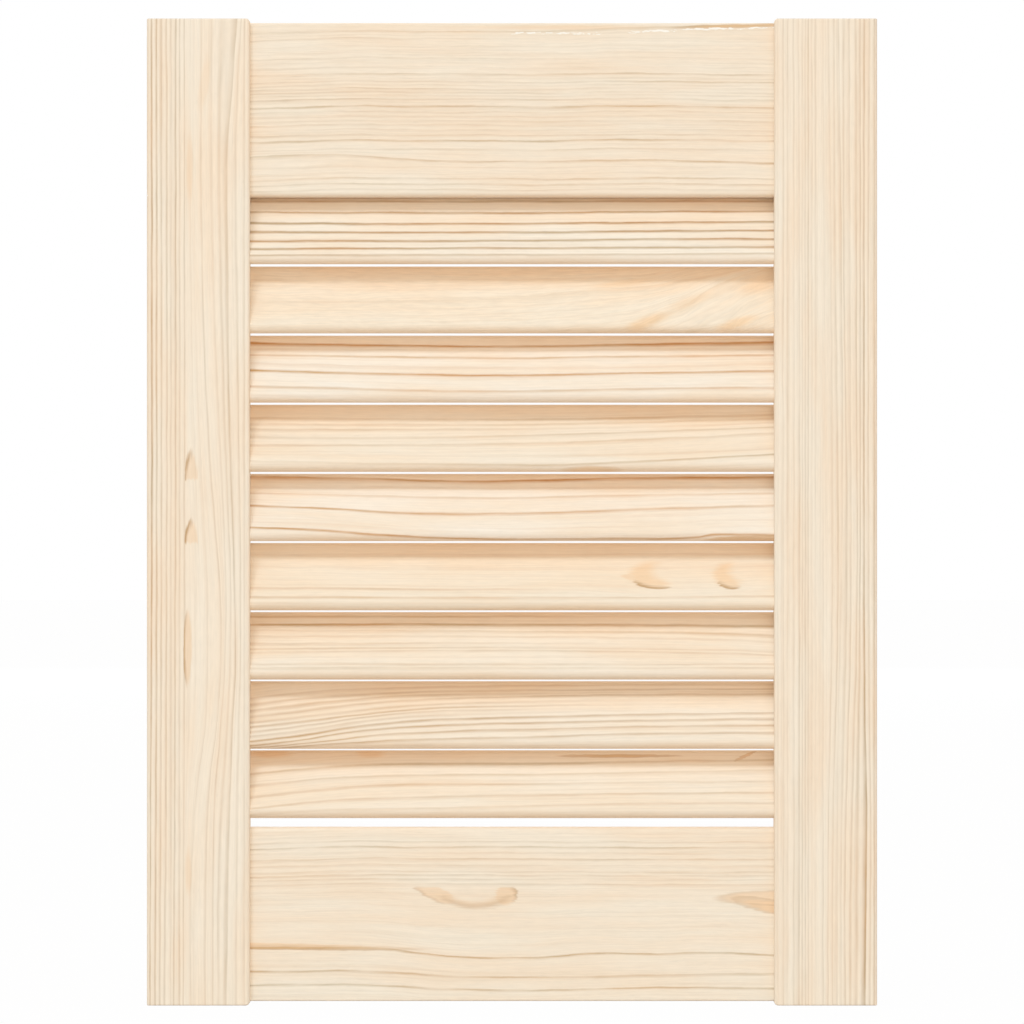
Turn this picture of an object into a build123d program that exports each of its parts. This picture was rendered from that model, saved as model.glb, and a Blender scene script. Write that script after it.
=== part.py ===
# Small louvred cabinet door in solid pine: two stiles, two rails set back between them
# and a ladder of fixed louvre slats. The slats slope down towards the front, have
# full-round edges and are let into inclined round-ended mortises in the stiles. The rail
# ends butt against the stiles on glued dowels.
# Millimetres. X runs across the door, Y from front to back, Z up. The origin is on the
# hinge edge: the left stile's outer edge, at mid height and mid thickness.
import os
from math import cos, floor, radians, sin, sqrt

from build123d import *

# Frame
door_width = 293.0
door_height = 396.0
stile_width = 41.3
stile_thickness = 21.0
stile_arris = 1.5  # radius along a stile's four long arrises
stile_end_arris = 0.5  # easing of a stile's sawn ends
horn_corner = 1.6  # radius of a stile's end corner on the side of the rails
horn = 1.7  # how far the stiles run on past the rails
rail_height = 69.8
rail_thickness = 12.5
rail_inner_arris = 2.0  # radius along a rail's two arrises at the louvres
rail_outer_arris = 0.6  # radius along its two outer arrises

# Louvre slats
slat_thickness = 6.0
slat_angle = 60.0  # from level, rising towards the back
slat_setback = 1.425  # from a stile's face to the slats' round edges
sight_gap = 0.75  # clear height between two slats, seen square on
rail_gap = 0.3  # between the top slat and the rail's rear arris
least_bottom_gap = 1.0  # below the last slat
housing_depth = 7.0  # how far a slat's end runs into a stile
housing_side_clearance = 0.1
housing_end_clearance = 0.4

# Dowels at the rail ends
dowel_diameter = 6.0
dowel_length = 30.0
dowel_spacing = 44.0
dowel_chamfer = 0.8
dowel_side_clearance = 0.05
dowel_end_clearance = 0.5

# Places that follow from the sizes above
clear_width = door_width - 2 * stile_width
rail_edge_z = door_height / 2 - horn - rail_height  # inner edge of the top rail
rail_centre_z = rail_edge_z + rail_height / 2
middle_plane = Plane.YZ.offset(door_width / 2)

# A slat is as wide as fits between the setbacks at its angle
slat_radius = slat_thickness / 2
edge_to_edge = (stile_thickness - 2 * slat_setback - slat_thickness) / cos(radians(slat_angle))
slat_width = edge_to_edge + slat_thickness
edge_y = edge_to_edge / 2 * cos(radians(slat_angle))  # centre of its rear round edge
edge_rise = edge_to_edge / 2 * sin(radians(slat_angle))
slat_pitch = 2 * (edge_rise + slat_radius) + sight_gap


def top_slat_z():
    """Centre of the highest slat, whose rear edge just clears the rail's rear arris."""
    arris_y = rail_thickness / 2 - rail_inner_arris
    if edge_y <= arris_y:
        return rail_edge_z - rail_gap - slat_radius - edge_rise
    spacing = rail_inner_arris + rail_gap + slat_radius
    across = min(edge_y - arris_y, spacing)
    return rail_edge_z + rail_inner_arris - sqrt(spacing**2 - across**2) - edge_rise


def slat_heights():
    """Centres of the slats from the top down, as many as the opening takes."""
    top = top_slat_z()
    lowest = least_bottom_gap - rail_edge_z + edge_rise + slat_radius
    count = 1 + floor((top - lowest) / slat_pitch)
    return [top - i * slat_pitch for i in range(count)]


def slat_bar(z, start_x, length, clearance=0.0):
    """A round-edged bar along X in a slat's place, grown all round by the clearance."""
    section = SlotOverall(slat_width + 2 * clearance, slat_thickness + 2 * clearance, slat_angle)
    return extrude(Plane.YZ.offset(start_x) * Pos(0, z) * section, length)


def dowel_bar(z, diameter, length):
    """A round bar along X across the joint of the left stile and a rail."""
    return Pos(stile_width, 0, z) * Rot(0, 90, 0) * Cylinder(diameter / 2, length)


def dowel_heights():
    """Heights of the dowels at the end of the top rail, the outer one first."""
    return [rail_centre_z + dowel_spacing / 2, rail_centre_z - dowel_spacing / 2]


def dowel_hole(z):
    diameter = dowel_diameter + 2 * dowel_side_clearance
    return dowel_bar(z, diameter, dowel_length + 2 * dowel_end_clearance)


def left_stile():
    """The upright on the hinge side: its three profiles, less the mortises and holes."""
    plan = RectangleRounded(stile_width, stile_thickness, stile_arris)
    side = RectangleRounded(stile_thickness, door_height, stile_end_arris)
    front = Rectangle(stile_width, door_height)
    front = fillet(front.vertices().sort_by(Axis.X)[-2:], horn_corner)
    centre = Pos(stile_width / 2, 0)
    body = extrude(Plane.XY * centre * plan, door_height / 2, both=True)
    body &= extrude(Plane.XZ * centre * front, stile_thickness / 2, both=True)
    body &= extrude(Plane.YZ * side, stile_width)

    depth = housing_depth + housing_end_clearance
    for z in slat_heights():
        body -= slat_bar(z, stile_width - depth, depth, housing_side_clearance)
    for z in dowel_heights():
        body -= dowel_hole(z)
        body -= dowel_hole(-z)
    return body


def top_rail():
    """The upper cross member, bored in both ends for its dowels."""
    section = Rectangle(rail_thickness, rail_height)
    section = fillet(section.vertices().sort_by(Axis.Y)[:2], rail_inner_arris)
    section = fillet(section.vertices().sort_by(Axis.Y)[-2:], rail_outer_arris)
    body = extrude(Plane.YZ.offset(stile_width) * Pos(0, rail_centre_z) * section, clear_width)
    for z in dowel_heights():
        body -= dowel_hole(z)
        body -= mirror(dowel_hole(z), middle_plane)
    return body


def left_dowel(z):
    body = dowel_bar(z, dowel_diameter, dowel_length)
    return chamfer(body.edges().filter_by(GeomType.CIRCLE), dowel_chamfer)


def door_pieces():
    """Every piece of the door, by the name of its node."""
    pieces = {"left_stile": left_stile(), "top_rail": top_rail()}
    pieces["right_stile"] = mirror(pieces["left_stile"], middle_plane)
    pieces["bottom_rail"] = mirror(pieces["top_rail"], Plane.XY)
    for number, z in enumerate(slat_heights(), start=1):
        start_x = stile_width - housing_depth
        pieces[f"slat_{number}"] = slat_bar(z, start_x, clear_width + 2 * housing_depth)
    for number, z in enumerate(dowel_heights(), start=1):
        for rail, side in (("top", 1), ("bottom", -1)):
            peg = left_dowel(side * z)
            pieces[f"{rail}_left_dowel_{number}"] = peg
            pieces[f"{rail}_right_dowel_{number}"] = mirror(peg, middle_plane)
    return pieces


os.makedirs("parts", exist_ok=True)
for name, piece in door_pieces().items():
    export_step(piece, f"parts/{name}.step")
print(f"{len(slat_heights())} slats, {slat_width:.2f} wide, at a pitch of {slat_pitch:.3f}")
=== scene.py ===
# A small louvred cabinet door in unfinished pine, photographed square on against white.
# X runs across the door, Y from front to back, Z up. Metres, as the frame has them.
# Grain is laid out board by board in millimetres: u along the board, v across its face.
from math import cos, pi, radians, sin

import bmesh
import bpy
from mathutils import Matrix, Vector


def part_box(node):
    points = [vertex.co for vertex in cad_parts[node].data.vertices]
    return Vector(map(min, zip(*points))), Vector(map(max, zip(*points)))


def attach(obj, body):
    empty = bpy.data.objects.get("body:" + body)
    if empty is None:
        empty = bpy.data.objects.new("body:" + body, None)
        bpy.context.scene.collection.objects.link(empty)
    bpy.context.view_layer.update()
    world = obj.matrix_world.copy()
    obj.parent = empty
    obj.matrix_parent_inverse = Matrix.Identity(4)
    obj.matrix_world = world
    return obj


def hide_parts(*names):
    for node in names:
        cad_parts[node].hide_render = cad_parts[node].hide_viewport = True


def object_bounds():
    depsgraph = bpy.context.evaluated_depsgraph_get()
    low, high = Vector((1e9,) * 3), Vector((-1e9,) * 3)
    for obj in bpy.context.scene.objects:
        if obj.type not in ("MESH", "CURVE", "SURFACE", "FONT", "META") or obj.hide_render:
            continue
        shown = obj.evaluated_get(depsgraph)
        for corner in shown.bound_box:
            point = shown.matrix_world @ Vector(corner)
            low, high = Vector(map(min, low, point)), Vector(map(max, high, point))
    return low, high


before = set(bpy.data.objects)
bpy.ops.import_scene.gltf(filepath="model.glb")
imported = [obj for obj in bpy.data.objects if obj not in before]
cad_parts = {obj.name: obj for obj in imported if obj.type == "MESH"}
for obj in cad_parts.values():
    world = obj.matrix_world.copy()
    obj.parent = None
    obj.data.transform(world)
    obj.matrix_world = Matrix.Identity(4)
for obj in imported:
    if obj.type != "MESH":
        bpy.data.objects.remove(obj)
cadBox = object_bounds()
mm = 0.001
doorLow, doorHigh = Vector(cadBox[0]), Vector(cadBox[1])
doorCentre = (doorLow + doorHigh) / 2
print("frame loaded:", len(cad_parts), "nodes")


def linearColour(hexText):
    # sRGB hex to the linear values that the sockets take
    parts = [int(hexText[i:i + 2], 16) / 255 for i in (0, 2, 4)]
    return [c / 12.92 if c <= 0.04045 else ((c + 0.055) / 1.055) ** 2.4 for c in parts] + [1.0]


def addNode(tree, kind, inputs=None, **settings):
    # inputs go by socket name or number, and take a value, a socket or another node's first output
    node = tree.nodes.new(kind)
    for name, value in settings.items():
        setattr(node, name, value)
    for key, value in (inputs or {}).items():
        if isinstance(key, int):
            socket = node.inputs[key]
        else:
            socket = next(s for s in node.inputs if s.enabled and s.name == key)
        if isinstance(value, bpy.types.Node):
            value = next(s for s in value.outputs if s.enabled)
        if isinstance(value, bpy.types.NodeSocket):
            tree.links.new(value, socket)
        else:
            socket.default_value = value
    return node


def noiseAt(tree, place, sizes, **settings):
    # noise whose grains have these sizes in mm
    scale = tuple(1 / size for size in sizes)
    spread = addNode(tree, "ShaderNodeVectorMath", {0: place, 1: scale}, operation="MULTIPLY")
    inputs = {label.capitalize(): value for label, value in settings.items()}
    return addNode(tree, "ShaderNodeTexNoise", {"Vector": spread, "Scale": 1.0, **inputs})


def newMaterial(name):
    material = bpy.data.materials.new(name)
    material.use_nodes = True
    material.node_tree.nodes.clear()
    return material, material.node_tree


def addObject(name, data):
    placed = bpy.data.objects.new(name, data)
    bpy.context.scene.collection.objects.link(placed)
    return placed


def newGroup(name, kind, inputs, outputs):
    # an empty node group with its named sockets, and its input and output nodes
    group = bpy.data.node_groups.new(name, kind)
    for label, (socketType, value) in inputs.items():
        socket = group.interface.new_socket(label, in_out="INPUT", socket_type=socketType)
        if value is not None:
            socket.default_value = value
    for label, socketType in outputs.items():
        group.interface.new_socket(label, in_out="OUTPUT", socket_type=socketType)
    return group, group.nodes.new("NodeGroupInput").outputs, group.nodes.new("NodeGroupOutput").inputs


def drawCurve(mapping, points, handles="AUTO"):
    # plots a curve node's line through points in its own units
    mapping.use_clip = False
    mapping.extend = "HORIZONTAL"
    curve = mapping.curves[0]
    curve.points[0].location = points[0]
    curve.points[1].location = points[-1]
    for x, y in points[1:-1]:
        curve.points.new(x, y)
    for point in curve.points:
        point.handle_type = handles
    mapping.update()


# Knots, flames and other marks: an oval, less an inner oval that makes it a crescent,
# and cut off along a straight line where another ring covers it. Its rim can lean to one side
markEdges = {
    "rimFull": 0.9, "rimEnd": (1.02, 0.85),  # shares of the oval's reach
    "leanGain": 1.5,
    "cutFade": 0.9,  # mm
}


def makeMarkGroup():
    group, given, out = newGroup("woodMark", "ShaderNodeTree", {
        "Position": ("NodeSocketVector", None),
        "Turn": ("NodeSocketFloat", 0.0),
        "Centre": ("NodeSocketVector", (0, 0, 0)),
        "Size": ("NodeSocketVector", (10, 5, 6)),
        "Inner Centre": ("NodeSocketVector", (0, 0, 0)),
        "Inner Size": ("NodeSocketVector", (0.01, 0.01, 0.01)),
        "Softness": ("NodeSocketFloat", 0.35),
        "Lean": ("NodeSocketVector", (0, 0, 0)),
        "Rim From": ("NodeSocketFloat", 0.4),
        "Cut": ("NodeSocketVector", (0, 0, 0)),
        "Cut Place": ("NodeSocketFloat", 1.0),
    }, {"Fill": "NodeSocketFloat", "Rim": "NodeSocketFloat"})
    inside, ovals = [], []
    for centre, size in (("Centre", "Size"), ("Inner Centre", "Inner Size")):
        offset = addNode(group, "ShaderNodeVectorMath", {0: given["Position"], 1: given[centre]},
                         operation="SUBTRACT")
        turned = addNode(group, "ShaderNodeVectorRotate", {"Vector": offset, "Angle": given["Turn"]},
                         rotation_type="Z_AXIS", invert=True)
        oval = addNode(group, "ShaderNodeVectorMath", {0: turned, 1: given[size]}, operation="DIVIDE")
        reach = addNode(group, "ShaderNodeVectorMath", {0: oval}, operation="LENGTH").outputs["Value"]
        ovals.append((oval, reach))
        edge = addNode(group, "ShaderNodeMath", {0: 1.0, 1: given["Softness"]}, operation="SUBTRACT")
        inside.append(addNode(group, "ShaderNodeMapRange", {
            "Value": reach, "From Min": 1.0, "From Max": edge}, interpolation_type="SMOOTHSTEP"))
    hollow = addNode(group, "ShaderNodeMath", {0: 1.0, 1: inside[1]}, operation="SUBTRACT")
    crescent = addNode(group, "ShaderNodeMath", {0: inside[0], 1: hollow}, operation="MULTIPLY")
    side = addNode(group, "ShaderNodeVectorMath", {0: given["Position"], 1: given["Cut"]},
                   operation="DOT_PRODUCT")
    beyond = addNode(group, "ShaderNodeMath", {0: given["Cut Place"], 1: side.outputs["Value"]},
                     operation="SUBTRACT")
    keep = addNode(group, "ShaderNodeMapRange", {"Value": beyond, "From Max": markEdges["cutFade"]})
    fill = addNode(group, "ShaderNodeMath", {0: crescent, 1: keep}, operation="MULTIPLY")
    oval, reach = ovals[0]
    rise = addNode(group, "ShaderNodeMapRange", {
        "Value": reach, "From Min": given["Rim From"], "From Max": markEdges["rimFull"]},
        interpolation_type="SMOOTHSTEP")
    outside, within = markEdges["rimEnd"]
    crisp = addNode(group, "ShaderNodeMapRange", {"Value": reach, "From Min": outside, "From Max": within})
    towards = addNode(group, "ShaderNodeVectorMath", {0: oval, 1: given["Lean"]},
                      operation="DOT_PRODUCT").outputs["Value"]
    lean = addNode(group, "ShaderNodeVectorMath", {0: given["Lean"]}, operation="LENGTH").outputs["Value"]
    even = addNode(group, "ShaderNodeMath", {0: 1.0, 1: lean}, operation="SUBTRACT")
    rim = addNode(group, "ShaderNodeMath", {0: towards, 1: markEdges["leanGain"], 2: even},
                  operation="MULTIPLY_ADD", use_clamp=True)
    for share in (rise, crisp, hollow, keep):
        rim = addNode(group, "ShaderNodeMath", {0: rim, 1: share}, operation="MULTIPLY")
    group.links.new(fill.outputs[0], out["Fill"])
    group.links.new(rim.outputs[0], out["Rim"])
    return group


# Pine, planed and sanded, with no finish: creamy early wood, browner and harder late wood
# in each ring, fine fibres along the board and short resin canals. Nearly matt.
pine = {
    # noises of the grain: length and width in mm, detail
    "grains": {"fibre": (20.0, 0.4, 2.0), "wrinkle": (6.0, 0.7, 1.0), "streak": (130.0, 1.1, 1.0),
               "blotch": (70.0, 9.0, 2.0), "canal": (3.2, 0.32, 0.0), "lateVary": (20.0, 1.3, 1.0)},
    # noise levels between which each one comes in
    "levels": {"Blotches": ("blotch", 0.36, 0.66), "Streaks": ("streak", 0.5, 0.72),
               "Canals": ("canal", 0.72, 0.86)},
    "lateLevels": (0.3, 0.65), "lateMost": 1.15,  # where the late wood swells, and to what share
    "browner": (0.4, 0.6),  # where it turns from grey to brown
    "canalShade": -0.12, "endShare": 0.6, "endFacing": (0.75, 0.98),
    "roughness": 0.62, "specular": 0.25, "ior": 1.5,
    "relief": 0.06, "lateRelief": 0.5, "tornRelief": 0.6,  # mm, and shares of it
    "seedStep": (311.0, 47.0, 0.0),
    # the near-white colour of lifted fibres is a painted highlight, for the light that they catch
    "colours": {"cream": "F6E8D4", "warm": "F6DEC2", "late": "D1AB80", "lateGrey": "C7B08E",
                "resin": "EFC493", "knot": "BA8E5A", "endGrain": "D9B78C", "torn": "FFF8EC"},
}


def makeWoodGroup():
    colours = {name: ("NodeSocketColor", linearColour(value)) for name, value in pine["colours"].items()}
    group, given, out = newGroup("pineWood", "ShaderNodeTree", {
        "Flow": ("NodeSocketVector", None),
        "Rings": ("NodeSocketFloat", 0.0),
        "Marks": ("NodeSocketFloat", 0.0),
        "Rims": ("NodeSocketFloat", 0.0),
        "End": ("NodeSocketFloat", 0.0),
        # where fibres are lifted: their relief, and their painted highlight
        "Torn": ("NodeSocketFloat", 0.0),
        "Seed": ("NodeSocketVector", (0, 0, 0)),
        "Uneven": ("NodeSocketFloat", 0.6),
        "Fibres": ("NodeSocketFloat", 0.12),
        "Wrinkles": ("NodeSocketFloat", 0.09),
        "Streaks": ("NodeSocketFloat", 0.12),
        "Canals": ("NodeSocketFloat", 0.3),
        "Blotches": ("NodeSocketFloat", 0.6),
        **colours,
    }, {"Colour": "NodeSocketColor", "Height": "NodeSocketFloat"})
    flow = addNode(group, "ShaderNodeVectorMath", {0: given["Flow"], 1: given["Seed"]}, operation="ADD")
    grains = {name: noiseAt(group, flow, (length, width, width), detail=detail)
              for name, (length, width, detail) in pine["grains"].items()}
    shown = {}
    for label, (grain, low, high) in pine["levels"].items():
        shown[label] = addNode(group, "ShaderNodeMapRange", {
            "Value": grains[grain], "From Min": low, "From Max": high, "To Max": given[label]})
    early = addNode(group, "ShaderNodeMix", {"Factor": shown["Blotches"], "A": given["cream"],
                                              "B": given["warm"]}, data_type="RGBA")
    faint = addNode(group, "ShaderNodeMath", {0: 1.0, 1: given["Uneven"]}, operation="SUBTRACT")
    low, high = pine["lateLevels"]
    vary = addNode(group, "ShaderNodeMapRange", {
        "Value": grains["lateVary"], "From Min": low, "From Max": high,
        "To Min": faint, "To Max": pine["lateMost"]})
    rings = addNode(group, "ShaderNodeMath", {0: given["Rings"], 1: vary}, operation="MULTIPLY")
    lateShare = addNode(group, "ShaderNodeMath", {0: rings, 1: shown["Streaks"]}, operation="ADD",
                        use_clamp=True)
    low, high = pine["browner"]
    browner = addNode(group, "ShaderNodeMapRange", {"Value": grains["blotch"], "From Min": low,
                                                    "From Max": high})
    late = addNode(group, "ShaderNodeMix", {"Factor": browner, "A": given["lateGrey"], "B": given["late"]},
                   data_type="RGBA")
    ringed = addNode(group, "ShaderNodeMix", {"Factor": lateShare, "A": early, "B": late}, data_type="RGBA")
    marked = addNode(group, "ShaderNodeMix", {"Factor": given["Marks"], "A": ringed, "B": given["resin"]},
                     data_type="RGBA")
    rimmed = addNode(group, "ShaderNodeMix", {"Factor": given["Rims"], "A": marked, "B": given["knot"]},
                     data_type="RGBA")
    endShare = addNode(group, "ShaderNodeMath", {0: given["End"], 1: pine["endShare"]},
                       operation="MULTIPLY")
    ended = addNode(group, "ShaderNodeMix", {"Factor": endShare, "A": rimmed, "B": given["endGrain"]},
                    data_type="RGBA")
    fibre = addNode(group, "ShaderNodeMath", {0: grains["fibre"], 1: 0.5}, operation="SUBTRACT")
    shade = addNode(group, "ShaderNodeMath", {0: fibre, 1: given["Fibres"], 2: 1.0}, operation="MULTIPLY_ADD")
    wrinkle = addNode(group, "ShaderNodeMath", {0: grains["wrinkle"], 1: 0.5}, operation="SUBTRACT")
    shade = addNode(group, "ShaderNodeMath", {0: wrinkle, 1: given["Wrinkles"], 2: shade},
                    operation="MULTIPLY_ADD")
    dashed = addNode(group, "ShaderNodeMath", {0: shown["Canals"], 1: pine["canalShade"], 2: shade},
                     operation="MULTIPLY_ADD")
    sound = addNode(group, "ShaderNodeVectorMath", {0: ended, "Scale": dashed}, operation="SCALE")
    # where fibres are lifted the colour turns near white, a painted highlight; the same mask raises them in
    # the height below
    colour = addNode(group, "ShaderNodeMix", {"Factor": given["Torn"], "A": sound, "B": given["torn"]},
                     data_type="RGBA")
    height = addNode(group, "ShaderNodeMath", {0: lateShare, 1: pine["lateRelief"], 2: grains["fibre"]},
                     operation="MULTIPLY_ADD")
    height = addNode(group, "ShaderNodeMath", {0: given["Torn"], 1: pine["tornRelief"], 2: height},
                     operation="MULTIPLY_ADD")
    pitted = addNode(group, "ShaderNodeMath", {0: height, 1: shown["Canals"]}, operation="SUBTRACT")
    group.links.new(next(s for s in colour.outputs if s.enabled), out["Colour"])
    group.links.new(pitted.outputs[0], out["Height"])
    return group


markGroup = makeMarkGroup()
woodGroup = makeWoodGroup()


# What a board's rings do unless it says otherwise
ringHabits = {
    "sway": 0.25, "swayGrain": (24.0, 5.0, 5.0),
    "heart": (-48.0, 26.0),  # the tree's heart: v, and depth behind the face
    "lateWidth": (0.85, 0.45),  # the late wood below and above a ring's darkest line
    "frayGrain": (6.0, 0.8, 0.8), "fray": (4.0, 1.0, 0),  # the ragged edges of marks
}


def pathOf(path, ends):
    # a path's first and last numbers are at its ends, and one that runs level is a single number
    if isinstance(path, (int, float)):
        path = [path, path]
    return [(-ends, path[0]), *path[1:-1], (ends, path[-1])]


def levelAt(path, u):
    for (u0, v0), (u1, v1) in zip(path, path[1:]):
        if u <= u1:
            return v0 + (v1 - v0) * (u - u0) / (u1 - u0)
    return path[-1][1]


def acrossRings(tree, board, place, thickness):
    # v as the rings have it: they sway, and as cylinders about the tree's heart they slant in depth
    axes = addNode(tree, "ShaderNodeSeparateXYZ", {"Vector": place}).outputs
    noise = noiseAt(tree, place, board["swayGrain"], detail=4.0, roughness=0.62)
    sway = addNode(tree, "ShaderNodeMapRange", {"Value": noise, "From Min": 0.3, "From Max": 0.7,
                                                "To Min": -board["sway"], "To Max": board["sway"]})
    v = addNode(tree, "ShaderNodeMath", {0: axes["Y"], 1: sway}, operation="ADD")
    heartV, heartDepth = board["heart"]
    across = addNode(tree, "ShaderNodeMath", {0: v, 1: heartV}, operation="SUBTRACT")
    depth = addNode(tree, "ShaderNodeMath", {0: axes["Z"], 1: thickness / 2 - heartDepth},
                    operation="SUBTRACT")
    square = addNode(tree, "ShaderNodeMath", {0: depth, 1: depth, 2: -heartDepth ** 2},
                     operation="MULTIPLY_ADD")
    square = addNode(tree, "ShaderNodeMath", {0: across, 1: across, 2: square}, operation="MULTIPLY_ADD")
    radius = addNode(tree, "ShaderNodeMath", {0: square}, operation="SQRT")
    v = addNode(tree, "ShaderNodeMath", {0: radius, 1: heartV}, operation="ADD")
    if "drift" in board:
        drift = addNode(tree, "ShaderNodeFloatCurve", {"Value": axes["X"]})
        drawCurve(drift.mapping, pathOf(board["drift"], board["ends"]))
        v = addNode(tree, "ShaderNodeMath", {0: v, 1: drift}, operation="SUBTRACT")
    return axes["X"], v, axes["Z"]


def ringField(tree, paths, u, v):
    # tells which ring a point is in, as a height at mid length. Between two paths it goes evenly
    lines = []
    for path in paths:
        line = addNode(tree, "ShaderNodeFloatCurve", {"Value": u})
        drawCurve(line.mapping, path)
        lines.append(line)
    levels = [levelAt(path, 0) for path in paths]
    under = addNode(tree, "ShaderNodeMath", {0: v, 1: lines[0]}, operation="SUBTRACT")
    under = addNode(tree, "ShaderNodeMath", {0: under, 1: 0.0}, operation="MINIMUM")
    over = addNode(tree, "ShaderNodeMath", {0: v, 1: lines[-1]}, operation="SUBTRACT")
    over = addNode(tree, "ShaderNodeMath", {0: over, 1: 0.0}, operation="MAXIMUM")
    field = addNode(tree, "ShaderNodeMath", {0: under, 1: over}, operation="ADD")
    field = addNode(tree, "ShaderNodeMath", {0: field, 1: levels[0]}, operation="ADD")
    for i in range(len(lines) - 1):
        step = addNode(tree, "ShaderNodeMapRange", {
            "Value": v, "From Min": lines[i], "From Max": lines[i + 1], "To Max": levels[i + 1] - levels[i]})
        field = addNode(tree, "ShaderNodeMath", {0: field, 1: step}, operation="ADD")
    return field, levels


def ringProfile(rings, levels, first, last, side, widths):
    # the dark of the late wood in a run of rings, for one end of the board: it comes slowly, stops
    # short, and leaves some pale early wood however near the next ring is
    rise, fall = widths
    points = []
    farOff = 9.0
    for i in range(first, last):
        below = levels[i] - levels[i - 1] if i else farOff
        above = levels[i + 1] - levels[i] if i + 1 < len(levels) else farOff
        start = levels[i] - min(rise, 0.55 * below)
        end = levels[i] + min(fall, 0.4 * above)
        dark = rings[i][side]
        shoulder = levels[i] - 0.4 * (levels[i] - start)
        points += [(start, 0.0), (shoulder, 0.55 * dark), (levels[i], dark), (end, 0.0)]
    return points


def ringDarkness(tree, board, field, levels, u, half):
    # late wood at both ends of the board, and a change from one to the other along it
    rings = board["rings"]
    dark = [0.0, 0.0]
    runLength = 6  # a curve keeps about 250 steps, so each draws a few rings
    for side in (0, 1):
        for first in range(0, len(rings), runLength):
            last = min(first + runLength, len(rings))
            profile = addNode(tree, "ShaderNodeFloatCurve", {"Value": field})
            points = ringProfile(rings, levels, first, last, side, board["lateWidth"])
            drawCurve(profile.mapping, points, "VECTOR")
            dark[side] = addNode(tree, "ShaderNodeMath", {0: dark[side], 1: profile}, operation="ADD")
    along = addNode(tree, "ShaderNodeMapRange", {"Value": u, "From Min": -0.6 * half, "From Max": 0.6 * half},
                    interpolation_type="SMOOTHSTEP")
    return addNode(tree, "ShaderNodeMix", {"Factor": along, "A": dark[0], "B": dark[1]})


def boardMarks(tree, board, place):
    # the largest fill and the largest rim of all the board's marks, with fibrous edges
    frayed = noiseAt(tree, place, board["frayGrain"], detail=2.0).outputs["Color"]
    frayed = addNode(tree, "ShaderNodeVectorMath", {0: frayed, 1: (0.5, 0.5, 0.5)}, operation="SUBTRACT")
    frayed = addNode(tree, "ShaderNodeVectorMath", {0: frayed, 1: board["fray"], 2: place},
                     operation="MULTIPLY_ADD")
    fill, rim = 0.0, 0.0
    for mark in board.get("marks", ()):
        shape = {label: value for label, value in mark.items() if label not in ("fill", "rim")}
        drawn = addNode(tree, "ShaderNodeGroup", {"Position": frayed, **shape}, node_tree=markGroup)
        filled = addNode(tree, "ShaderNodeMath", {0: drawn.outputs["Fill"], 1: mark.get("fill", 0.0)},
                         operation="MULTIPLY")
        rimmed = addNode(tree, "ShaderNodeMath", {0: drawn.outputs["Rim"], 1: mark.get("rim", 0.0)},
                         operation="MULTIPLY")
        fill = addNode(tree, "ShaderNodeMath", {0: fill, 1: filled}, operation="MAXIMUM")
        rim = addNode(tree, "ShaderNodeMath", {0: rim, 1: rimmed}, operation="MAXIMUM")
    return fill, rim


def tornFibreHighlightMask(tree, torn, place, u, ends):
    # short flecks in a strip under a path, where the planer lifted the fibres: raised in relief, and painted
    # near white as the highlight that they catch
    v = addNode(tree, "ShaderNodeSeparateXYZ", {"Vector": place}).outputs["Y"]
    edge = addNode(tree, "ShaderNodeFloatCurve", {"Value": u})
    drawCurve(edge.mapping, pathOf(torn["path"], ends))
    depth = addNode(tree, "ShaderNodeMath", {0: edge, 1: v}, operation="SUBTRACT")
    strip = addNode(tree, "ShaderNodeFloatCurve", {"Value": depth})
    drawCurve(strip.mapping, torn["strip"])
    share = addNode(tree, "ShaderNodeFloatCurve", {"Value": u})
    drawCurve(share.mapping, pathOf(torn["share"], ends), "VECTOR")
    flecks = noiseAt(tree, place, torn["fleck"], detail=2.0)
    lifted = addNode(tree, "ShaderNodeMath", {0: strip, 1: share}, operation="MULTIPLY")
    lifted = addNode(tree, "ShaderNodeMath", {0: lifted, 1: flecks}, operation="ADD")
    low, high = torn["levels"]
    return addNode(tree, "ShaderNodeMapRange", {"Value": lifted, "From Min": low, "From Max": high})


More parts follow.
